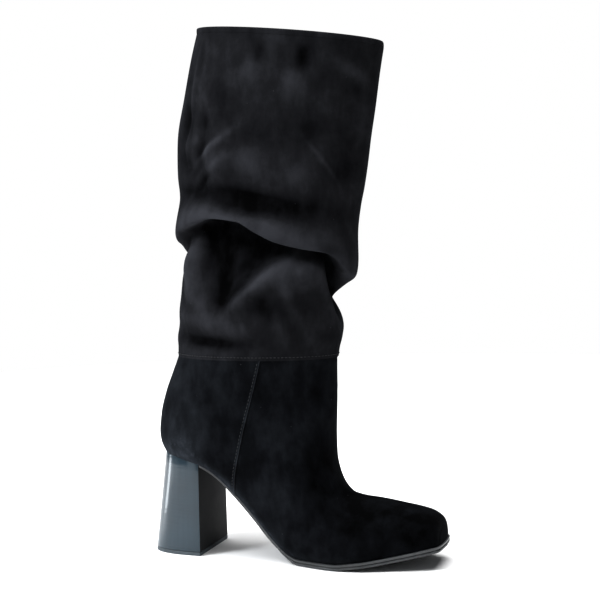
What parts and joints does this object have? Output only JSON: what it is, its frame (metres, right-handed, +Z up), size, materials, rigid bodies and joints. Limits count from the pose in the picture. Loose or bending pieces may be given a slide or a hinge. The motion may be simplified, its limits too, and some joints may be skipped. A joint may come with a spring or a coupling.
{
  "type": "slouch boot",
  "caption": "Knee high suede boot with a square toe, a slack shaft folded in rolls above the ankle, and a tall flared block heel.",
  "frame": {"origin": "on the floor at the middle of the heel's bottom face", "axes": "+X towards the toe, +Z up along the shaft, -Y the outer side of a right boot"},
  "size_m": [0.2467, 0.0934, 0.4311],
  "materials": {
    "suede": "black suede with a soft nap",
    "binding": "black turned edge",
    "insole": "smooth sock lining",
    "sole": "satin edge",
    "heel": "high gloss lacquer",
    "top_piece": "matt"
  },
  "bodies": {
    "root": {"foot_upper": "suede", "slouch_shaft": "suede", "collar_binding": "binding", "insole": "insole", "outsole": "sole", "block_heel": "heel", "heel_top_piece": "top_piece"}
  },
  "joints": []
}
